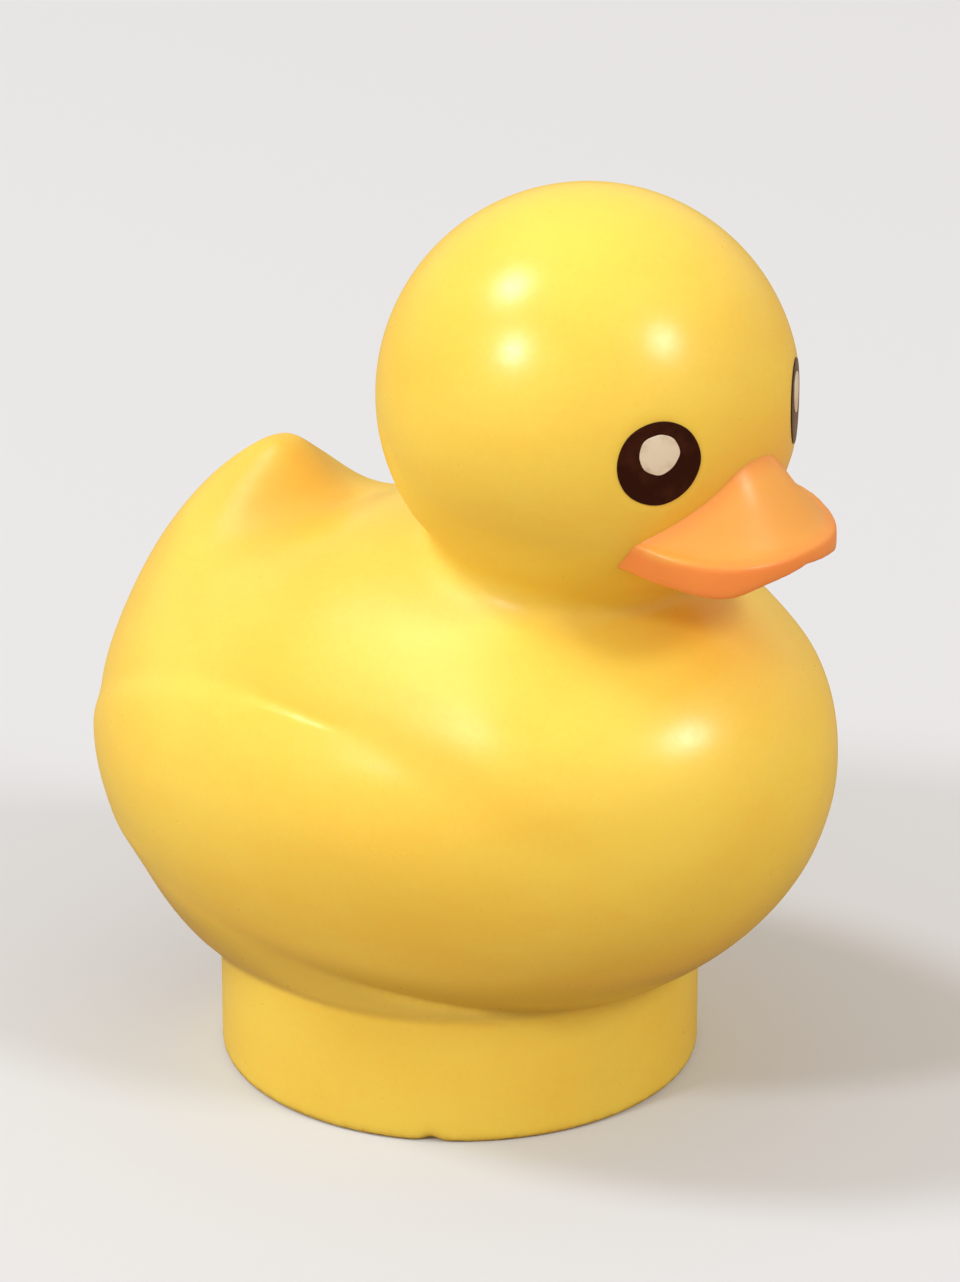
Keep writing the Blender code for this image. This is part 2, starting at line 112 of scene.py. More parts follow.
def curve(knots: Knots, place: np.ndarray) -> np.ndarray:
    """Read a smooth curve that passes through a few knots.

    Args:
        knots: Pairs of place and height, in order of place.
        place: Where the curve is read.

    Returns:
        The height at each place.
    """
    at, height = np.array(knots).T
    slope = np.empty_like(height)
    slope[1:-1] = (height[2:] - height[:-2]) / (at[2:] - at[:-2])
    slope[0] = (height[1] - height[0]) / (at[1] - at[0])
    slope[-1] = (height[-1] - height[-2]) / (at[-1] - at[-2])
    place = np.clip(place, at[0], at[-1])
    i = np.clip(np.searchsorted(at, place, side="right") - 1, 0, len(at) - 2)
    span = at[i + 1] - at[i]
    t = (place - at[i]) / span
    start = height[i] * (1 + 2 * t) * (1 - t) ** 2 + span * slope[i] * t * (1 - t) ** 2
    return start + height[i + 1] * t * t * (3 - 2 * t) - span * slope[i + 1] * t * t * (1 - t)


@dataclass(frozen=True)
class Bowl:
    """The ellipsoid that the body starts from. Its chest is higher than its rear."""

    half_width: float = 5.0
    half_length: float = 6.88
    half_height: float = 4.62
    height: float = 5.53
    pitch: float = math.radians(8.66)

    def _terms(self) -> tuple[float, float, float]:
        """Return the ellipsoid's squared, mixed and squared terms in Z and Y."""
        sin, cos = math.sin(self.pitch), math.cos(self.pitch)
        upright = (sin / self.half_length) ** 2 + (cos / self.half_height) ** 2
        mixed = 2 * sin * cos * (self.half_height**-2 - self.half_length**-2)
        along = (cos / self.half_length) ** 2 + (sin / self.half_height) ** 2
        return upright, mixed, along

    @property
    def reach(self) -> float:
        """How far the ellipsoid goes to the rear of its centre."""
        upright, mixed, along = self._terms()
        return (along - mixed**2 / (4 * upright)) ** -0.5

    def section(self, y: np.ndarray) -> tuple[np.ndarray, np.ndarray, np.ndarray]:
        """Cut the ellipsoid by upright planes across the duck.

        Args:
            y: The planes' places.

        Returns:
            The half width, middle height and half height of each cut.
        """
        upright, mixed, _ = self._terms()
        inside = np.sqrt(np.maximum(1.0 - (y / self.reach) ** 2, 0.0))
        return self.half_width * inside, self.height - mixed * y / (2 * upright), inside / math.sqrt(upright)


# Tools for modelling


def bare() -> None:
    """Leave nothing selected."""
    for obj in bpy.context.selected_objects:
        obj.select_set(False)


def take(obj: bpy.types.Object) -> None:
    """Make one object the only selected one and the active one.

    Args:
        obj: The object.
    """
    bare()
    obj.select_set(True)
    bpy.context.view_layer.objects.active = obj


def newest(name: str) -> bpy.types.Object:
    """Name the primitive that was just added.

    Args:
        name: The name of the object and its mesh.

    Returns:
        The object.
    """
    obj = bpy.context.active_object
    obj.name = name
    obj.data.name = name
    return obj


def points_of(obj: bpy.types.Object) -> np.ndarray:
    """Read an object's vertices.

    Args:
        obj: The object.

    Returns:
        Rows of X, Y and Z.
    """
    flat = np.empty(len(obj.data.vertices) * 3)
    obj.data.vertices.foreach_get("co", flat)
    return flat.reshape(-1, 3)


def put_points(obj: bpy.types.Object, points: np.ndarray) -> None:
    """Move an object's vertices to rows of X, Y and Z."""
    obj.data.vertices.foreach_set("co", np.ascontiguousarray(points, dtype=np.float32).ravel())
    obj.data.update()


def finish_with(obj: bpy.types.Object, kind: str, **settings: object) -> None:
    """Add one modifier to an object and apply it.

    Args:
        obj: The object.
        kind: The modifier's type.
        **settings: The modifier's settings.
    """
    take(obj)
    modifier = obj.modifiers.new(kind.lower(), kind)
    for key, value in settings.items():
        setattr(modifier, key, value)
    bpy.ops.object.modifier_apply(modifier=modifier.name)


def unite(obj: bpy.types.Object, tool: bpy.types.Object, operation: str = "UNION") -> None:
    """Join a tool to an object, or cut it with the tool, and remove the tool.

    Args:
        obj: The object that stays.
        tool: The closed object that is used up.
        operation: The Boolean's operation.
    """
    finish_with(obj, "BOOLEAN", object=tool, operation=operation, solver="MANIFOLD")
    bpy.data.objects.remove(tool, do_unlink=True)


def weigh(obj: bpy.types.Object, name: str, weights: np.ndarray) -> str:
    """Give an object a vertex group with one weight a vertex.

    Args:
        obj: The object.
        name: The group's name.
        weights: A weight from 0 to 1 for each vertex.

    Returns:
        The group's name.
    """
    group = obj.vertex_groups.new(name=name)
    levels = 50
    steps = np.round(np.clip(weights, 0.0, 1.0) * levels).astype(int)
    for step in np.unique(steps):
        if step:
            group.add(np.flatnonzero(steps == step).tolist(), step / levels, "REPLACE")
    return name


def smooth(obj: bpy.types.Object, steps: int, group: str = "") -> None:
    """Smooth an object in light steps, all over or as much as one vertex group says."""
    finish_with(obj, "SMOOTH", factor=0.5, iterations=steps, vertex_group=group)


def face_out(obj: bpy.types.Object) -> None:
    """Point every face of a closed mesh outwards.

    Args:
        obj: The object.
    """
    take(obj)
    bpy.ops.object.mode_set(mode="EDIT")
    bpy.ops.mesh.select_all(action="SELECT")
    bpy.ops.mesh.normals_make_consistent(inside=False)
    bpy.ops.object.mode_set(mode="OBJECT")


def skin(obj: bpy.types.Object, cell: float, smoothing: int) -> None:
    """Give a closed object an even mesh that keeps its surface, with its edges a little softened.

    Args:
        obj: The object.
        cell: The even mesh's edge length.
        smoothing: How many light smoothing steps follow.
    """
    take(obj)
    bpy.ops.object.duplicate()
    true = newest(obj.name + "_true")
    finish_with(obj, "REMESH", mode="VOXEL", voxel_size=cell, adaptivity=0.0, use_smooth_shade=True)
    finish_with(obj, "SHRINKWRAP", target=true, wrap_method="NEAREST_SURFACEPOINT")
    smooth(obj, smoothing)
    bpy.data.objects.remove(true, do_unlink=True)


@dataclass(frozen=True)
class Head:
    """The ball of the head and the flats that carry the eyes."""

    radius: float = 3.385
    forward: float = 2.665
    height: float = 12.219
    flat_depth: float = 0.09
    eye_turn: float = math.radians(32.0)
    eye_lift: float = math.radians(1.0)

    @property
    def centre(self) -> Vector:
        """The middle of the ball."""
        return Vector((0.0, -self.forward, self.height))

    @staticmethod
    def aim(turn: float, lift: float) -> Vector:
        """A unit direction at an angle round from straight ahead and an angle up."""
        level = math.cos(lift)
        return Vector((math.sin(turn) * level, -math.cos(turn) * level, math.sin(lift)))

    def eye_normal(self, side: Side) -> Vector:
        """The direction that an eye's flat faces."""
        return self.aim(side.value * self.eye_turn, self.eye_lift)

    def ball(self, name: str, radius: float) -> bpy.types.Object:
        """Make a ball round the head's middle.

        Args:
            name: The object's name.
            radius: The ball's radius.

        Returns:
            The ball.
        """
        bpy.ops.mesh.primitive_uv_sphere_add(
            segments=180, ring_count=90, radius=radius, location=self.centre
        )
        made = newest(name)
        bpy.ops.object.transform_apply()
        return made

    def build(self) -> bpy.types.Object:
        """Make the ball and cut its two flats.

        Returns:
            The ball, in its place over the body.
        """
        ball = self.ball("head_ball", self.radius)
        bpy.ops.object.mode_set(mode="EDIT")
        for side in Side:
            normal = self.eye_normal(side)
            bpy.ops.mesh.select_all(action="SELECT")
            bpy.ops.mesh.bisect(
                plane_co=self.centre + normal * (self.radius - self.flat_depth),
                plane_no=normal,
                use_fill=True,
                clear_outer=True,
            )
        bpy.ops.object.mode_set(mode="OBJECT")
        return ball


@dataclass
class MouldedBody:
    """The yellow moulding: bowl, back, tail, flanks, skirt, foot, head and neck."""

    bowl: Bowl = field(default_factory=Bowl)
    head: Head = field(default_factory=Head)
    shelf_height: float = 1.96
    shelf_sag: float = 3.1
    shelf_power: float = 2.34
    roll: Knots = (
        (-0.75, 0.0),
        (-0.55, 0.05),
        (-0.33, 0.18),
        (-0.1, 0.25),
        (0.3, 0.17),
        (0.6, 0.05),
        (0.8, 0.0),
    )
    roll_height: float = 1.9
    recess: Knots = (
        (-0.75, 0.0),
        (-0.55, 0.05),
        (-0.33, 0.18),
        (-0.1, 0.29),
        (0.3, 0.28),
        (0.6, 0.18),
        (1.0, 0.13),
    )
    recess_height: float = 3.0
    recess_power: float = 1.3
    end_share: float = 0.4
    steepest: float = 0.95
    shoulder_out: float = 0.06
    shoulder_in: float = 0.3
    chest_ends: Ends = (2.8, 5.0)
    chest_middle: float = 0.35
    chest_top: Ends = (0.45, 0.95)
    nose_blend: float = 3.0
    dip: Knots = (
        (-3.0, 0.0),
        (-0.5, -0.35),
        (1.2, -0.48),
        (2.0, -0.58),
        (2.6, -0.60),
        (3.1, -0.53),
        (3.6, -0.33),
        (4.2, -0.12),
        (6.8, 0.0),
    )
    saddle_reach: float = 5.2
    rise_share: float = 3.0
    tail_rise: Knots = (
        (2.4, 0.0),
        (2.8, 0.30),
        (3.2, 0.71),
        (3.55, 1.00),
        (3.85, 1.08),
        (4.7, 0.98),
        (5.67, 0.80),
        (6.3, 0.55),
        (6.8, 0.0),
    )
    tail_reach: Knots = (
        (2.4, 1.0),
        (3.2, 1.75),
        (3.6, 2.3),
        (3.95, 2.7),
        (4.7, 2.75),
        (5.67, 2.5),
        (6.8, 1.8),
    )
    foot_radius: float = 4.0
    foot_round: float = 0.08
    foot_bury: float = 0.25
    socket_radius: float = 2.43
    socket_depth: float = 2.0
    skirt_lip: float = 0.04
    skirt_low: float = 2.25
    skirt_drop: float = 1.15
    skirt_dip: float = 0.12
    skirt_power: float = 2.3
    skirt_top: float = 3.8
    flare_side: float = 0.37
    flare_rear: float = 2.5
    skirt_bulge: float = 0.29
    flare_front: float = -0.9
    neck_front: float = 2.4
    neck_rear: float = 0.35
    neck_turn: Ends = (-0.9, 0.2111)
    neck_core: float = 1.25
    tail_inner: Ends = (0.2, 0.8)
    tail_outer: Ends = (3.9, 2.9)
    tail_front: Ends = (1.0, 2.2)
    tail_rear: Ends = (6.0, 4.8)
    tail_low: Ends = (7.3, 8.0)
    crisp_front: Ends = (-0.24, -0.14)
    crisp_rear: Ends = (0.2, 0.08)
    shelf_soft: float = 0.6
    shelf_inner: float = 1.0
    shelf_end: float = 0.97
    skirt_soft: Ends = (0.4, 0.9)
    skirt_high: Ends = (5.2, 4.2)
    skirt_front: Ends = (-1.5, 1.0)
    nick_turn: float = math.radians(-57.3)
    nick_size: float = 0.16
    nick_height: float = 0.07
    nick_depth: float = 0.012
    cell: float = 0.08
    skin_smoothing: int = 2
    neck_smoothing: int = 320
    tail_smoothing: int = 260
    shelf_smoothing: int = 50
    skirt_smoothing: int = 40
    kept_share: float = 0.77

    def back_rise(self, x: np.ndarray, y: np.ndarray) -> np.ndarray:
        """How far the saddle and the tail stand above the bowl, over points of the duck's plan."""
        saddle = curve(self.dip, y) * bell(x / self.saddle_reach)
        return saddle + curve(self.tail_rise, y) * bell(x / curve(self.tail_reach, y))

    def shelf_line(self, y: np.ndarray) -> np.ndarray:
        """Height of the flank's shelf along the duck."""
        sag = self.shelf_sag * np.abs(y / self.bowl.reach) ** self.shelf_power
        return self.bowl.height + self.shelf_height - sag

    def shoulder(self, y: np.ndarray, level: np.ndarray) -> np.ndarray:
        """How far the chest stands out of the bowl, more in the middle of its height than at the neck.

        Args:
            y: Places along the duck.
            level: Height of each place in its section, from -1 to 1.

        Returns:
            The distance out of the bowl.
        """
        nose = np.minimum(1.0, self.nose_blend * (1.0 - np.abs(y / self.bowl.reach)))
        out = self.shoulder_out * bell((level - self.chest_middle) / self.chest_middle)
        drawn_in = self.shoulder_in * between(level, self.chest_top)
        return between(-y, self.chest_ends) * nose * (out - drawn_in)

    def top(self, x: np.ndarray, y: np.ndarray) -> np.ndarray:
        """Find the height of the back.

        Args:
            x: Places across the duck.
            y: Places along the duck.

        Returns:
            The back's height over each place.
        """
        width, middle, height = self.bowl.section(y)
        share = np.clip(np.abs(x) / np.maximum(width, 1e-6), 0.0, 1.0)
        level = np.sqrt(1.0 - share**2)
        return middle + (height + self.shoulder(y, level)) * level + self.back_rise(x, y)

    def build_bowl(self) -> bpy.types.Object:
        """Shape a ball into the body, with an edge loop along the flank's shelf.

        Returns:
            The body without its foot, skirt and head.
        """
        segments = 240
        bpy.ops.mesh.primitive_uv_sphere_add(segments=segments, ring_count=200, radius=1.0)
        obj = newest("duck_moulding")
        x, z, y = points_of(obj).T
        pole = np.hypot(x, z) < 1e-6
        angle = np.where(pole, 0.0, np.arctan2(z, np.abs(x)))
        y = y * self.bowl.reach
        width, middle, height = self.bowl.section(y)
        lift = (self.shelf_line(y) - middle) / np.maximum(height, 1e-6)
        shelf = np.arcsin(np.clip(lift, -self.steepest, self.steepest))
        first = 2 * math.pi / segments
        low = angle < first / 2
        down = -math.pi / 2 + (shelf + math.pi / 2) * (angle + math.pi / 2) / (math.pi / 2)
        up = shelf + (math.pi / 2 - shelf) * (angle - first) / (math.pi / 2 - first)
        angle = np.where(low, down, up)
        level = np.sin(angle)
        off = height * (level - np.sin(shelf))
        along = y / self.bowl.reach
        under = np.clip(1.0 + off / self.roll_height, 0.0, 1.0) ** 2
        over = np.clip(1.0 - off / self.recess_height, 0.0, 1.0) ** self.recess_power
        inward = np.where(low, curve(self.roll, along) * under, curve(self.recess, along) * over)
        inward = inward * np.minimum(1.0, width / (self.end_share * self.bowl.half_width))
        outward = self.shoulder(y, level) - inward
        across = (width + outward) * np.cos(angle)
        share = np.clip((level - np.sin(shelf)) / (1.0 - np.sin(shelf)), 0.0, 1.0)
        rise = self.back_rise(across, y) * ease(self.rise_share * share)
        upright = middle + (height + outward) * level + np.where(low, 0.0, rise)
        put_points(obj, np.stack([-np.sign(np.where(pole, 0.0, x)) * across, y, upright], 1))
        face_out(obj)
        return obj

    def build_foot(self) -> bpy.types.Object:
        """Turn the round foot and bevel its lower rim.

        Returns:
            The foot, standing on the floor.
        """
        _, middle, height = self.bowl.section(np.array([-self.foot_radius]))
        tall = float(middle[0] - height[0]) + self.foot_bury
        bpy.ops.mesh.primitive_cylinder_add(
            vertices=256, radius=self.foot_radius, depth=tall, location=(0.0, 0.0, tall / 2)
        )
        foot = newest("foot_ring")
        bpy.ops.object.transform_apply()
        on_floor = points_of(foot)[:, 2] < 1e-4
        weight = foot.data.attributes.new("bevel_weight_edge", "FLOAT", "EDGE")
        for edge in foot.data.edges:
            if on_floor[list(edge.vertices)].all():
                weight.data[edge.index].value = 1.0
        finish_with(foot, "BEVEL", width=self.foot_round, segments=4, limit_method="WEIGHT")
        return foot

    def skirt_line(self, y: np.ndarray) -> np.ndarray:
        """Find the skirt's lower edge, which is lowest behind.

        Args:
            y: Places along the duck.

        Returns:
            The edge's height at each place.
        """
        behind = np.clip(y / self.foot_radius, 0.0, 1.0) ** self.skirt_power
        ahead = np.clip(-y / self.foot_radius, 0.0, 1.0) ** 2
        return self.skirt_low - self.skirt_drop * behind - self.skirt_dip * ahead

    def build_skirt(self) -> bpy.types.Object:
        """Flare a tube from the foot's rim up to the rear of the bowl.

        Returns:
            The skirt, closed at both ends.
        """
        bpy.ops.mesh.primitive_cylinder_add(vertices=256, radius=1.0, depth=2.0)
        skirt = newest("skirt")
        bpy.ops.object.mode_set(mode="EDIT")
        bpy.ops.mesh.select_all(action="SELECT")
        loops = 7
        for loop in range(1, loops + 1):
            level = 2.0 * loop / (loops + 1) - 1.0
            bpy.ops.mesh.bisect(plane_co=(0.0, 0.0, level), plane_no=(0.0, 0.0, 1.0))
            bpy.ops.mesh.select_all(action="SELECT")
        bpy.ops.object.mode_set(mode="OBJECT")
        x, y, z = points_of(skirt).T
        radius = self.foot_radius + self.skirt_lip
        rear, front = self.foot_radius + self.flare_rear, self.foot_radius + self.flare_front
        high = np.stack([
            (self.foot_radius + self.flare_side) * x,
            (rear - front) / 2 + y * (rear + front) / 2,
            np.full_like(z, self.skirt_top),
        ], 1)
        low = np.stack([radius * x, radius * y, self.skirt_line(y * radius)], 1)
        up = ((z + 1.0) / 2)[:, None]
        # The share of the bulge is 1 at its largest, a third of the way up.
        share = 6.75 * up * (1 - up) ** 2 * np.maximum(y, 0.0)[:, None]
        outward = np.stack([x, y, np.zeros_like(z)], 1)
        put_points(skirt, low + (high - low) * up + self.skirt_bulge * share * outward)
        face_out(skirt)
        return skirt

    def neck_weight(self, points: np.ndarray) -> np.ndarray:
        """How much each point belongs to the hollow between head and body.

        Args:
            points: Rows of X, Y and Z.

        Returns:
            1 on the joint line, falling to 0 a little way up the head and down the body.
        """
        x, y, z = points.T
        centre = self.head.centre
        off = points - np.array(centre)
        from_ball = np.abs(np.linalg.norm(off, axis=1) - self.head.radius)
        from_back = np.abs(z - self.top(x, y))
        ahead = -off[:, 1] / np.maximum(np.hypot(off[:, 0], off[:, 1]), 1e-6)
        size = self.neck_rear + (self.neck_front - self.neck_rear) * between(ahead, self.neck_turn)
        return ease(self.neck_core - (from_ball + from_back) / size) * (z < centre.z)

    def tail_weight(self, points: np.ndarray) -> np.ndarray:
        """How much each point belongs to the soft flanks of the tail.

        Args:
            points: Rows of X, Y and Z.

        Returns:
            1 on the flanks, falling to 0 on the ridge and all round.
        """
        x, y, z = points.T
        aside = between(np.abs(x), self.tail_inner) * between(np.abs(x), self.tail_outer)
        along = between(y, self.tail_front) * between(y, self.tail_rear)
        return aside * along * between(z, self.tail_low)

    def shelf_weight(self, points: np.ndarray) -> np.ndarray:
        """How much each point belongs to the soft part of the flank's shelf.

        Args:
            points: Rows of X, Y and Z.

        Returns:
            1 along the shelf, and 0 where it is crisp and off it.
        """
        x, y, z = points.T
        along = y / self.bowl.reach
        crisp = between(along, self.crisp_front) * between(along, self.crisp_rear)
        on_flank = (np.abs(x) > self.shelf_inner) * (along < self.shelf_end)
        return bell((z - self.shelf_line(y)) / self.shelf_soft) * (1.0 - crisp) * on_flank

    def skirt_weight(self, points: np.ndarray) -> np.ndarray:
        """How much each point belongs to the joint between the skirt's top and the bowl.

        Args:
            points: Rows of X, Y and Z.

        Returns:
            1 on the joint behind and at the sides, falling to 0 above, below and in front.
        """
        _, y, z = points.T
        upright = between(z - self.skirt_line(y), self.skirt_soft) * between(z, self.skirt_high)
        return upright * between(y, self.skirt_front)

    def build(self) -> bpy.types.Object:
        """Join the forms into one moulding and soften its joints and its tail.

        Returns:
            The moulding, in millimetres.
        """
        body = self.build_bowl()
        unite(body, self.build_foot())
        unite(body, self.build_skirt())
        unite(body, self.head.build())
        bpy.ops.mesh.primitive_cylinder_add(
            vertices=192, radius=self.socket_radius, depth=2 * self.socket_depth
        )
        unite(body, newest("socket"), "DIFFERENCE")
        skin(body, self.cell, self.skin_smoothing)
        points = points_of(body)
        softened = (
            ("neck", self.neck_weight, self.neck_smoothing),
            ("tail", self.tail_weight, self.tail_smoothing),
            ("shelf", self.shelf_weight, self.shelf_smoothing),
            ("skirt", self.skirt_weight, self.skirt_smoothing),
        )
        for name, weight, steps in softened:
            smooth(body, steps, weigh(body, name, weight(points)))
        self.nick(body)
        finish_with(body, "DECIMATE", ratio=self.kept_share)
        return body

    def nick(self, body: bpy.types.Object) -> None:
        """Press the small nick into the foot's lower rim.

        Args:
            body: The moulding.
        """
        points = points_of(body)
        place = self.foot_radius * np.array(self.head.aim(self.nick_turn, 0.0))
        away = np.linalg.norm(points - place, axis=1)
        share = np.exp(-((away / self.nick_size) ** 2))
        points[:, 2] += self.nick_height * share
        points[:, :2] *= (1.0 - self.nick_depth * share)[:, None]
        put_points(body, points)


@dataclass
class Bill:
    """The orange bill, seated on the front of the head."""

    head: Head = field(default_factory=Head)
    half_width: float = 1.9
    length: float = 2.06
    corner_ahead: float = 2.375
    plan_power: float = 2.3
    face: float = 0.1
    square: float = 0.55
    top_drop: Knots = ((0.0, 1.339), (25.0, 1.439), (45.0, 1.509), (90.0, 1.509))
    low_drop: Knots = ((0.0, 1.869), (20.0, 1.969), (45.0, 2.079), (65.0, 1.899), (90.0, 1.779))
    slant: float = 0.69
    hollow: Triple = (0.3, 0.6, 0.46)
    flat: Triple = (0.7, 0.98, 0.12)
    ridge_power: int = 3
    inner_share: float = 0.8
    under_share: float = 0.75
    under_curve: float = 0.45
    under_step: float = 0.02
    end_slide: float = 0.4
    root: Knots = (
        (0.0, -3.7),
        (5.0, -4.2),
        (8.7, -5.7),
        (13.6, -9.2),
        (19.2, -13.0),
        (25.9, -16.8),
        (35.4, -21.9),
        (42.0, -25.0),
    )
    root_turn: float = math.radians(35.5)
    sunk: float = 0.12
    cell: float = 0.035
    smoothing: int = 12
    stations: int = 90
    profile_steps: int = 96

    def outline(self, turn: float, back: float) -> np.ndarray:
        """One closed outline of the bill: over the top, round the lip and back below.

        Args:
            turn: Angle round the bill, from one mouth corner to the other.
            back: How far the outline is slid back into the head.

        Returns:
            Rows of X, Y and Z, as many as profile_steps.
        """
        centre = self.head.centre
        across, ahead = -math.cos(turn), max(math.sin(turn), 0.0)
        plan_x = math.copysign(abs(across) ** (2 / self.plan_power), across)
        plan_y = ahead ** (2 / self.plan_power)
        share = np.array(math.degrees(math.atan2(plan_y, abs(plan_x))))
        top = centre.z - float(curve(self.top_drop, share))
        low = centre.z - float(curve(self.low_drop, share))
        edge = Vector((
            (self.half_width - self.face) * plan_x,
            centre.y - self.corner_ahead - (self.length - self.face) * plan_y,
            0.0,
        ))
        outward = Vector((
            math.copysign(abs(plan_x) ** (self.plan_power - 1) / self.half_width, plan_x),
            -(plan_y ** (self.plan_power - 1)) / self.length,
            0.0,
        )).normalized()
        azimuth = across * self.root_turn
        lift = math.radians(float(curve(self.root, np.array(abs(math.degrees(azimuth))))))
        start = centre + self.head.aim(azimuth, lift) * (self.head.radius - self.sunk / 2)
        brow = Vector((edge.x, edge.y, top))
        ridge = plan_y**self.ridge_power
        hollow, flat = (
            Vector((*start.lerp(brow, way).xy, start.z + (brow.z - start.z) * (drop - less * ridge)))
            for way, drop, less in (self.hollow, self.flat)
        )
        lip_steps = self.profile_steps // 4
        top_steps = self.profile_steps - lip_steps - 3
        slant = self.slant * max(0.0, 1.0 - 2.0 * ahead)
        points = [centre + self.head.aim(azimuth, lift) * (self.inner_share * self.head.radius)]
        for k in range(top_steps + 1):
            t = k / top_steps
            point = start * (1 - t) ** 3 + hollow * (3 * t * (1 - t) ** 2)
            point += flat * (3 * t * t * (1 - t)) + brow * t**3
            point.y -= slant * t * (top - low) / 2
            points.append(point)
        for k in range(1, lip_steps + 1):
            angle = math.pi / 2 - math.pi * k / lip_steps
            side, level = math.cos(angle), math.sin(angle)
            off = (top - low) / 2 * math.copysign(abs(level) ** self.square, level)
            point = edge + outward * (self.face * max(side, 0.0) ** self.square)
            points.append(Vector((point.x, point.y - slant * off, (top + low) / 2 + off)))
        reach = self.under_share * self.head.radius * (1.0 - self.under_curve * (1.0 - ahead))
        points.append(Vector((edge.x * self.under_share, centre.y - reach, low + self.under_step)))
        return np.array([tuple(point) for point in points]) + (0.0, back, 0.0)

    def build(self) -> bpy.types.Object:
        """Shape a closed tube into the bill and sink its root into the ball of the head.

        Returns:
            The bill, in millimetres.
        """
        rings = [self.outline(0.0, self.end_slide)]
        rings += [self.outline(math.pi * i / self.stations, 0.0) for i in range(self.stations + 1)]
        rings.append(self.outline(math.pi, self.end_slide))
        bpy.ops.mesh.primitive_uv_sphere_add(
            segments=self.profile_steps, ring_count=len(rings) + 1, radius=1.0
        )
        bill = newest("duck_bill")
        x, y, z = points_of(bill).T
        level = np.arccos(np.clip(z, -1.0, 1.0)) / math.pi * (len(rings) + 1)
        ring = np.clip(np.round(level).astype(int) - 1, 0, len(rings) - 1)
        place = np.round((np.arctan2(y, x) / (2 * math.pi)) % 1.0 * self.profile_steps).astype(int)
        place %= self.profile_steps
        table = np.array(rings)
        moved = table[ring, place]
        for pole, end in ((level < 0.5, table[0]), (level > len(rings) + 0.5, table[-1])):
            moved[pole] = end.mean(axis=0)
        put_points(bill, moved)
        face_out(bill)
        unite(bill, self.head.ball("bill_seat", self.head.radius - self.sunk), "DIFFERENCE")
        skin(bill, self.cell, self.smoothing)
        return bill


@dataclass
class Eye:
    """One printed eye: a dark disc on the head's flat, with a pale spot."""

    side: Side
    head: Head = field(default_factory=Head)
    radius: float = 0.69
    spot_radius: float = 0.33
    spot_rise: float = 0.15
    thick: float = 0.03
    sunk: float = 0.01
    dark_wobble: float = 0.006
    pale_wobble: float = 0.022
    waves: tuple[Triple, ...] = ((3.0, 0.6, 1.0), (5.0, 2.1, 0.6), (8.0, math.pi / 2, 0.4))

    def disc(self, name: str, radius: float, out: float, rise: float, wobble: float) -> bpy.types.Object:
        """Make one disc of print with a rounded edge and a hand-cut looking outline.

        Args:
            name: The piece's name.
            radius: The disc's radius.
            out: How far its lower face is off the head's flat.
            rise: How far it is moved up the flat.
            wobble: How uneven its outline is, as a share of the radius.

        Returns:
            The disc, in millimetres, in its place on the head.
        """
        bpy.ops.mesh.primitive_cylinder_add(vertices=128, radius=radius, depth=self.thick)
        disc = newest(name)
        x, y, z = points_of(disc).T
        turn = np.arctan2(y, x)
        waves = (share * np.sin(count * turn + start) for count, start, share in self.waves)
        uneven = 1.0 + wobble * sum(waves)
        put_points(disc, np.stack([x * uneven, y * uneven, z], 1))
        finish_with(disc, "BEVEL", width=self.thick * 0.45, segments=3, limit_method="ANGLE")
        normal = self.head.eye_normal(self.side)
        off = self.head.radius - self.head.flat_depth + out + self.thick / 2
        up = (Vector((0.0, 0.0, 1.0)) - normal * normal.z).normalized()
        across = up.cross(normal)
        turned = Matrix((across, up, normal)).transposed().to_4x4()
        disc.data.transform(Matrix.Translation(self.head.centre + normal * off + up * rise) @ turned)
        take(disc)
        bpy.ops.object.shade_smooth_by_angle(angle=math.radians(40.0))
        return disc

    def build(self) -> tuple[bpy.types.Object, bpy.types.Object]:
        """Make the print.

        Returns:
            The dark disc and the pale spot.
        """
        word = self.side.name.lower()
        dark = self.disc("duck_eye_" + word, self.radius, -self.sunk, 0.0, self.dark_wobble)
        out = self.thick - 2 * self.sunk
        pale = self.disc("duck_spot_" + word, self.spot_radius, out, self.spot_rise, self.pale_wobble)
        return dark, pale


# Shader tools


class Value:
    """A number that varies over a surface. Python's operators on it add Math nodes."""

    def __init__(self, bench: "Bench", socket: Link) -> None:
        """Wrap a socket of a bench's node tree."""
        self.bench = bench
        self.socket = socket

    def _maths(self, operation: str, *values: object) -> "Value":
        """Add one Math node."""
        return self.bench.value("ShaderNodeMath", {"operation": operation}, dict(enumerate(values)))

    def __add__(self, other: object) -> "Value":
        """Add."""
        return self._maths("ADD", self, other)

    __radd__ = __add__

    def __sub__(self, other: object) -> "Value":
        """Take away."""
        return self._maths("SUBTRACT", self, other)

    def __rsub__(self, other: object) -> "Value":
        """Take this from a number."""
        return self._maths("SUBTRACT", other, self)

    def __mul__(self, other: object) -> "Value":
        """Multiply."""
        return self._maths("MULTIPLY", self, other)

    def __pow__(self, other: object) -> "Value":
        """Raise to a power."""
        return self._maths("POWER", self, other)

    def least(self, other: object) -> "Value":
        """Take the smaller of two."""
        return self._maths("MINIMUM", self, other)

    def most(self, other: object) -> "Value":
        """Take the larger of two."""
        return self._maths("MAXIMUM", self, other)

    def fade(self, start: float, end: float) -> "Value":
        """Go smoothly from 0 at one value to 1 at another.

        Args:
            start: Where the result is 0.
            end: Where the result is 1. It may be the smaller one.

        Returns:
            The faded value.
        """
        flip = start > end
        low, high = sorted((start, end))
        settings = {"interpolation_type": "SMOOTHSTEP"}
        sockets = {"Value": self, "From Min": low, "From Max": high}
        faded = self.bench.value("ShaderNodeMapRange", settings, sockets)
        return 1.0 - faded if flip else faded


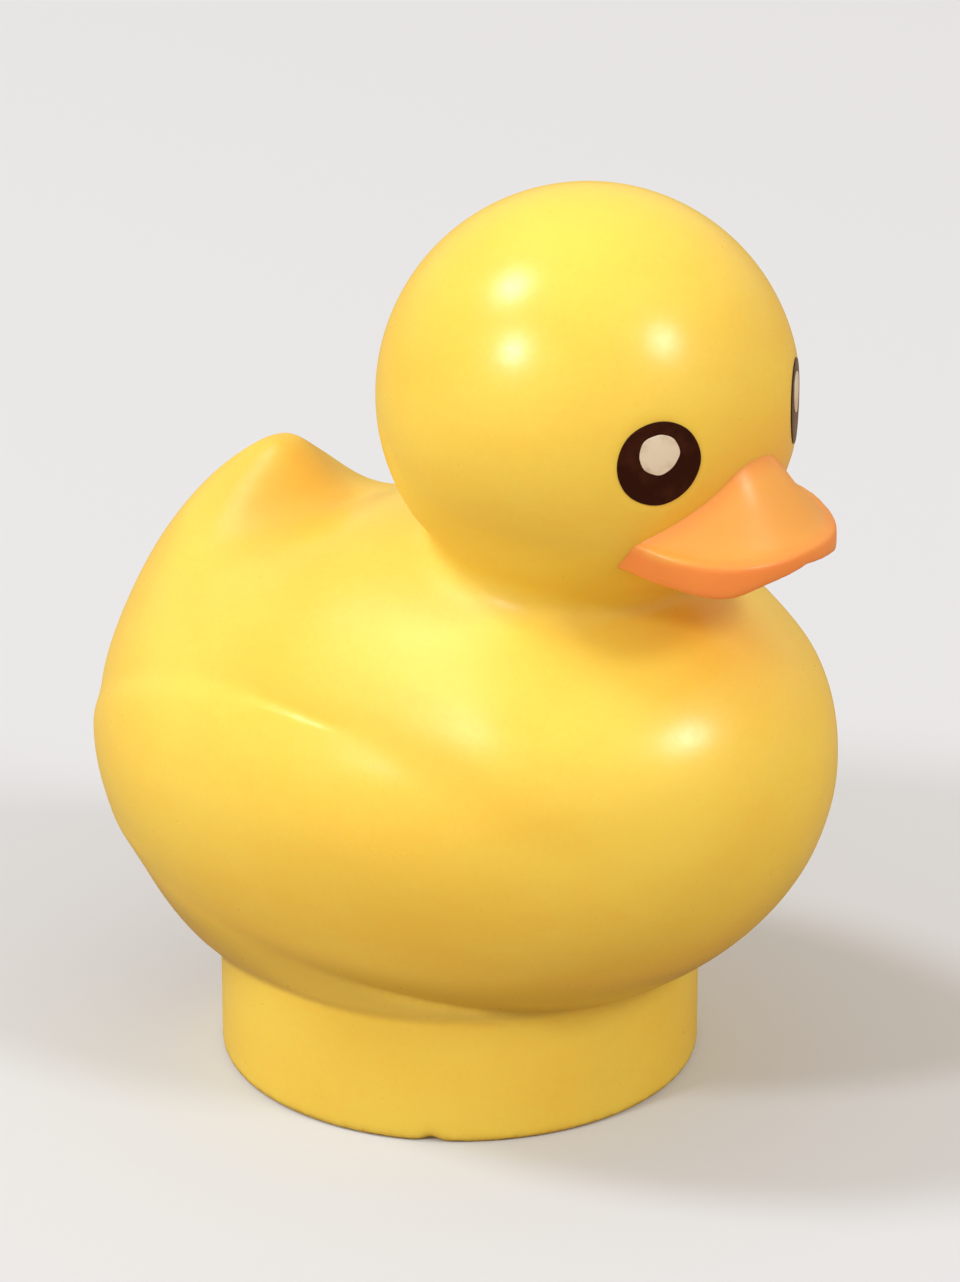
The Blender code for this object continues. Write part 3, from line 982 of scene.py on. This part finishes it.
@dataclass(frozen=True)
class Patch:
    """A soft round patch on the duck, in millimetres, which is whole inside its inner radius."""

    middle: Triple
    outer: float
    inner: float
    strength: float = 1.0

    @property
    def mirrored(self) -> "Patch":
        """The same patch on the duck's other side."""
        x, y, z = self.middle
        return replace(self, middle=(-x, y, z))


class Bench:
    """A material's node tree with one shader, and one way to add a node."""

    def __init__(self, name: str) -> None:
        """Start a material with a Principled shader."""
        self.material = bpy.data.materials.new(name)
        self.material.use_nodes = True
        self.tree = self.material.node_tree
        self.shader = self.tree.nodes["Principled BSDF"]

    def node(self, kind: str, settings: dict[str, object], sockets: dict[object, object]) -> bpy.types.Node:
        """Add a node.

        Args:
            kind: The node's type.
            settings: Its properties, set before its sockets.
            sockets: A value or a link for each input, by name or number.

        Returns:
            The node.
        """
        made = self.tree.nodes.new(kind)
        for key, setting in settings.items():
            setattr(made, key, setting)
        for key, given in sockets.items():
            self.feed(made.inputs[key], given)
        return made

    def feed(self, socket: Link, given: object) -> None:
        """Link a socket to a value or another socket, or set its number."""
        if isinstance(given, Value):
            self.tree.links.new(given.socket, socket)
        elif isinstance(given, bpy.types.NodeSocket):
            self.tree.links.new(given, socket)
        else:
            socket.default_value = given

    def value(
        self, kind: str, settings: dict[str, object], sockets: dict[object, object], output: object = 0
    ) -> Value:
        """Add a node and take one output as a number."""
        return Value(self, self.node(kind, settings, sockets).outputs[output])

    def place(self) -> Link:
        """Object coordinates in millimetres."""
        at = self.node("ShaderNodeTexCoord", {}, {}).outputs["Object"]
        scale = {"Scale": (1 / MM,) * 3}
        return self.node("ShaderNodeMapping", {}, {"Vector": at, **scale}).outputs["Vector"]

    def axes(self) -> tuple[Value, Value, Value]:
        """Object X, Y and Z in millimetres."""
        split = self.node("ShaderNodeSeparateXYZ", {}, {"Vector": self.place()})
        return tuple(Value(self, split.outputs[i]) for i in range(3))

    def distance(self, spot: Triple) -> Value:
        """Distance in millimetres from a spot on the duck."""
        sockets = {0: self.place(), 1: spot}
        return self.value("ShaderNodeVectorMath", {"operation": "DISTANCE"}, sockets, "Value")

    def patches(self, *patches: Patch) -> Value:
        """Add soft patches up.

        Args:
            *patches: The patches.

        Returns:
            Their summed strength over the duck.
        """
        first, *others = (
            self.distance(patch.middle).fade(patch.outer, patch.inner) * patch.strength for patch in patches
        )
        return sum(others, start=first)

    def noise(self, scale: float, detail: float, stretch: Triple = (1.0, 1.0, 1.0)) -> Value:
        """Add soft noise.

        Args:
            scale: A millimetre over this is the size of the noise's features.
            detail: How many finer layers it has.
            stretch: How much finer it is along each axis.

        Returns:
            The noise, between 0 and 1.
        """
        at = self.node("ShaderNodeMapping", {}, {"Vector": self.place(), "Scale": stretch}).outputs["Vector"]
        sockets = {"Vector": at, "Scale": scale, "Detail": detail, "Roughness": 0.55}
        return self.value("ShaderNodeTexNoise", {}, sockets, "Fac")

    def blend(self, share: object, low: object, high: object) -> Link:
        """Mix two colours.

        Args:
            share: The second colour's share.
            low: The first colour.
            high: The second colour.

        Returns:
            The mix's colour socket.
        """
        mix = self.node("ShaderNodeMix", {"data_type": "RGBA"}, {0: share})
        self.feed(mix.inputs[6], low)
        self.feed(mix.inputs[7], high)
        return mix.outputs[2]

    def bump(self, height: Value, distance: float, strength: float) -> None:
        """Feed the shader's normal from a height in shares of a distance in millimetres."""
        sockets = {"Height": height, "Distance": distance * MM, "Strength": strength}
        self.feed(self.shader.inputs["Normal"], self.node("ShaderNodeBump", {}, sockets).outputs["Normal"])

    def set(self, **constants: object) -> None:
        """Set the shader's own sockets. A space in a name is written as an underscore."""
        for key, constant in constants.items():
            self.feed(self.shader.inputs[key.replace("_", " ")], constant)


@dataclass(frozen=True)
class YellowPlastic:
    """Semi-gloss yellow moulding with faint flow mottling, painted shade in the band above the foot, and
    painted orange bounce light and shade round the bill's root and in front of the tail.
    """

    lit: Colour = (0.96, 0.74, 0.11, 1.0)
    deep: Colour = (0.95, 0.67, 0.085, 1.0)
    # Orange of the painted bounce light and shade round the bill's root and in front of the tail.
    warm: Colour = (0.93, 0.42, 0.045, 1.0)
    # Colour of the painted shade in the band between the foot's upper joint and the bowl.
    painted_shade: Colour = (0.70, 0.51, 0.078, 1.0)
    roughness: float = 0.29
    grain_roughness: float = 0.08
    # Patches of painted orange bounce light and shade: round the bill's root and in front of the tail.
    painted_bounce_and_shade: tuple[Patch, ...] = (
        Patch((0.0, -6.0, 10.4), 3.0, 0.9, 0.6),
        Patch((-0.6, 3.1, 9.1), 2.0, 0.3, 0.5),
    )
    dulls: tuple[Patch, ...] = (Patch((-3.4, -1.7, 8.8), 2.6, 1.0), Patch((-1.3, 4.0, 9.1), 1.9, 0.7))
    dull_most: float = 1.2
    dull_roughness: float = 0.18
    shiny: Patch = Patch((-4.42, -2.24, 6.9), 1.5, 0.4, 0.07)
    # Where the band of painted shade above the foot lies, in millimetres.
    foot_y: float = 0.13
    foot_radius: float = 4.0
    joint_drop: float = 1.15
    joint_power: float = 2.3
    joint_height: Ends = (2.1, 2.3)
    bowl_height: Ends = (3.5, 2.7)
    foot_reach: Ends = (15.2, 16.1)

    def under(self, bench: Bench) -> Value:
        """Find the narrow band between the foot's upper joint and the bowl, which gets little light, where
        painted shade darkens the colour.

        Args:
            bench: The material's bench.

        Returns:
            1 in the band and 0 elsewhere.
        """
        x, y, height = bench.axes()
        y = y - self.foot_y
        joint = (y * (1.0 / self.foot_radius)).most(0.0) ** self.joint_power * self.joint_drop
        band = (height + joint).fade(*self.joint_height) * height.fade(*self.bowl_height)
        return band * (x * x + y * y).fade(*self.foot_reach)

    def make(self) -> bpy.types.Material:
        """Build the material."""
        bench = Bench("yellow_plastic")
        cloud = bench.noise(0.35, 4.0, (1.0, 0.7, 1.6))
        grain = bench.noise(9.0, 4.0)
        shade = (cloud * 0.75 + grain * 0.25).fade(0.35, 0.68)
        plain = bench.blend(shade, self.lit, self.deep)
        # Painted shade: the band above the foot is darkened towards the shade colour.
        painted_shade = bench.blend(self.under(bench), plain, self.painted_shade)
        dull = bench.patches(*self.dulls, *(patch.mirrored for patch in self.dulls)).least(self.dull_most)
        shiny = bench.patches(self.shiny, self.shiny.mirrored)
        rough = self.roughness + dull * self.dull_roughness - shiny
        bench.set(
            # Painted orange bounce light and shade over the colour, round the bill's root and in front of
            # the tail.
            Base_Color=bench.blend(bench.patches(*self.painted_bounce_and_shade), painted_shade, self.warm),
            Roughness=rough + (grain - 0.5) * self.grain_roughness,
            Subsurface_Weight=0.25,
            Subsurface_Radius=(1.0, 0.55, 0.12),
            Subsurface_Scale=0.5 * MM,
            IOR=1.52,
        )
        bench.bump(cloud * 0.8 + grain * 0.2, 0.012, 0.3)
        return bench.material


@dataclass(frozen=True)
class OrangePlastic:
    """Semi-gloss orange moulding, paler where it is thin."""

    lit: Colour = (0.96, 0.46, 0.09, 1.0)
    deep: Colour = (0.95, 0.31, 0.07, 1.0)
    roughness: float = 0.36
    lip: Ends = (10.85, 10.6)
    lip_share: float = 0.8
    seat: Patch = Patch((0.0, -2.53, 12.22), 3.75, 3.4, 0.55)
    blade_top: Ends = (11.7, 11.2)
    blade_low: Ends = (10.8, 10.95)
    blade_roughness: float = 0.16

    def make(self) -> bpy.types.Material:
        """Build the material."""
        bench = Bench("orange_plastic")
        grain = bench.noise(9.0, 4.0)
        cloud = bench.noise(0.9, 3.0)
        _, _, height = bench.axes()
        edge = height.fade(*self.lip) * self.lip_share
        share = (edge + bench.patches(self.seat) + (cloud - 0.5) * 0.4).fade(0.0, 1.0)
        blade = height.fade(*self.blade_top) * height.fade(*self.blade_low)
        bench.set(
            Base_Color=bench.blend(share, self.lit, self.deep),
            Roughness=self.roughness + blade * self.blade_roughness + (grain - 0.5) * 0.1,
            Subsurface_Weight=0.25,
            Subsurface_Radius=(1.0, 0.4, 0.1),
            Subsurface_Scale=0.4 * MM,
            IOR=1.52,
        )
        bench.bump(cloud * 0.75 + grain * 0.25, 0.01, 0.3)
        return bench.material


@dataclass(frozen=True)
class PrintInk:
    """Glossy printed ink with a slightly uneven film."""

    name: str
    ink: Colour
    worn: Colour
    roughness: float

    def make(self) -> bpy.types.Material:
        """Build the material."""
        bench = Bench(self.name)
        film = bench.noise(3.0, 4.0)
        bench.set(
            Base_Color=bench.blend(film.fade(0.45, 0.75), self.ink, self.worn),
            Roughness=self.roughness + (film - 0.5) * 0.15,
            IOR=1.45,
            Specular_IOR_Level=0.15,
        )
        bench.bump(film, 0.01, 0.4)
        return bench.material


BLACK_INK = PrintInk("black_ink", (0.028, 0.0045, 0.0015, 1.0), (0.05, 0.011, 0.004, 1.0), 0.28)
PALE_INK = PrintInk("pale_ink", (0.80, 0.74, 0.62, 1.0), (0.62, 0.54, 0.42, 1.0), 0.4)


@dataclass(frozen=True)
class Lamp:
    """One soft studio lamp, placed by the direction that it lights from."""

    name: str
    toward: Triple
    size: float
    power: float
    away: float = 0.5

    def build(self, middle: Vector) -> None:
        """Hang the lamp and aim it.

        Args:
            middle: The point that it aims at.
        """
        direction = Vector(self.toward).normalized()
        bpy.ops.object.light_add(type="AREA", location=middle + direction * self.away)
        lamp = bpy.context.active_object
        lamp.name = self.name
        lamp.data.shape = "DISK"
        lamp.data.size = self.size
        lamp.data.energy = self.power
        lamp.rotation_mode = "QUATERNION"
        lamp.rotation_quaternion = direction.to_track_quat("Z", "Y")


@dataclass
class Studio:
    """A pale floor, soft lamps and the camera at the photograph's viewing angle."""

    azimuth: float = math.radians(-50.5)
    elevation: float = math.radians(23.274)
    distance: float = 110.0 * MM
    focal_px: float = 6512.43
    foot_px: tuple[float, float] = (459.94, 1033.19)
    frame_px: tuple[float, float] = (960.0, 1282.0)
    sensor: float = 36.0
    aim_height: float = 8.0 * MM
    floor_size: float = 6.0
    floor_seen: Colour = (0.62, 0.68, 0.76, 1.0)
    floor_thrown: Colour = (0.38, 0.29, 0.20, 1.0)
    world_seen: Colour = (0.78, 0.78, 0.78, 1.0)
    world_thrown: Colour = (0.71, 0.58, 0.46, 1.0)
    lamps: tuple[Lamp, ...] = (
        Lamp("lamp_left", (-0.79, 0.17, 0.59), 0.08, 0.80),
        Lamp("lamp_over", (-0.32, 0.45, 0.83), 0.12, 0.82),
        Lamp("lamp_right", (0.05, -0.76, 0.65), 0.11, 0.66),
    )

    def build_camera(self, foot: Vector) -> None:
        """Place the camera so that the foot's middle falls where the photograph shows it.

        Args:
            foot: The foot's middle on the floor.
        """
        turn, lift = self.azimuth, self.elevation
        ahead = Vector((-math.sin(turn) * math.cos(lift), math.cos(turn) * math.cos(lift), -math.sin(lift)))
        right = ahead.cross(Vector((0.0, 0.0, 1.0))).normalized()
        up = right.cross(ahead)
        across = (self.foot_px[0] - self.frame_px[0] / 2) / self.focal_px * self.distance
        down = (self.foot_px[1] - self.frame_px[1] / 2) / self.focal_px * self.distance
        bpy.ops.object.camera_add(location=foot - ahead * self.distance - right * across + up * down)
        camera = bpy.context.active_object
        camera.rotation_mode = "QUATERNION"
        camera.rotation_quaternion = ahead.to_track_quat("-Z", "Y")
        camera.data.sensor_width = self.sensor
        camera.data.lens = self.focal_px / self.frame_px[1] * self.sensor
        camera.data.clip_start = 1.0 * MM
        bpy.context.scene.camera = camera

    def build_floor(self) -> None:
        """Lay a large floor, pale in the picture but throwing only a little warm light back up."""
        bpy.ops.mesh.primitive_plane_add(size=self.floor_size)
        floor = newest("floor")
        bench = Bench("pale_floor")
        seen = bench.node("ShaderNodeLightPath", {}, {}).outputs["Is Camera Ray"]
        bench.set(Base_Color=bench.blend(seen, self.floor_thrown, self.floor_seen), Roughness=0.8)
        floor.data.materials.append(bench.material)

    def build_world(self) -> None:
        """Light the studio from all round."""
        world = bpy.data.worlds.new("studio")
        world.use_nodes = True
        tree = world.node_tree
        back = tree.nodes["Background"]
        path, tint = tree.nodes.new("ShaderNodeLightPath"), tree.nodes.new("ShaderNodeMix")
        tint.data_type = "RGBA"
        tint.inputs[6].default_value = self.world_thrown
        tint.inputs[7].default_value = self.world_seen
        tree.links.new(path.outputs["Is Camera Ray"], tint.inputs[0])
        tree.links.new(tint.outputs[2], back.inputs["Color"])
        back.inputs["Strength"].default_value = 1.0
        bpy.context.scene.world = world

    def build(self, foot: Vector) -> None:
        """Set the whole studio up round the foot's middle."""
        bare()
        self.build_floor()
        self.build_world()
        for lamp in self.lamps:
            lamp.build(foot + Vector((0.0, 0.0, self.aim_height)))
        self.build_camera(foot)
        bpy.context.scene.view_settings.view_transform = "Standard"


@dataclass
class Duck:
    """The whole dressed duck."""

    body: MouldedBody = field(default_factory=MouldedBody)
    bill: Bill = field(default_factory=Bill)
    packed_seam: float = 0.02
    packed_print: float = 0.04

    def foot_shift(self) -> Vector:
        """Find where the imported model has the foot's axis, from where it has an eye.

        Returns:
            The foot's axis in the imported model, in metres.
        """
        low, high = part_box("eye_print_right")
        head = self.body.head
        off = head.radius - head.flat_depth + self.packed_seam + self.packed_print / 2
        middle = head.centre + head.eye_normal(Side.RIGHT) * off
        return Vector((0.0, (low.y + high.y) / 2 - middle.y * MM, 0.0))

    def settle(
        self,
        obj: bpy.types.Object,
        finish: bpy.types.Material,
        nodes: tuple[str, ...],
        shift: Vector,
    ) -> None:
        """Carry a finished piece to metres and to its place, and hand it to the frame.

        Args:
            obj: The piece, in millimetres about the foot's axis.
            finish: Its material.
            nodes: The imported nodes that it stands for.
            shift: From the foot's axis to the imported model's origin.
        """
        obj.data.transform(Matrix.Translation(shift) @ Matrix.Scale(MM, 4))
        obj.vertex_groups.clear()
        obj.data.materials.clear()
        obj.data.materials.append(finish)
        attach(obj, "root")
        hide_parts(*nodes)
        LOG.info("%s: %d faces", obj.name, len(obj.data.polygons))

    def build(self) -> Vector:
        """Build every piece.

        Returns:
            The shift from the foot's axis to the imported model's origin.
        """
        eyes = {side: Eye(side, self.body.head).build() for side in Side}
        shift = self.foot_shift()
        black, pale = BLACK_INK.make(), PALE_INK.make()
        for side, (dark_disc, spot) in eyes.items():
            word = side.name.lower()
            self.settle(dark_disc, black, ("eye_print_" + word,), shift)
            self.settle(spot, pale, ("eye_spot_" + word,), shift)
        self.settle(self.body.build(), YellowPlastic().make(), ("duck_body",), shift)
        self.settle(self.bill.build(), OrangePlastic().make(), ("bill",), shift)
        return shift


def main() -> None:
    """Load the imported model, dress it and set up the studio."""
    logging.basicConfig(level=logging.INFO, format="%(name)s: %(message)s")
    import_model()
    bare()
    shift = Duck().build()
    Studio().build(shift)


if __name__ == "__main__":
    main()
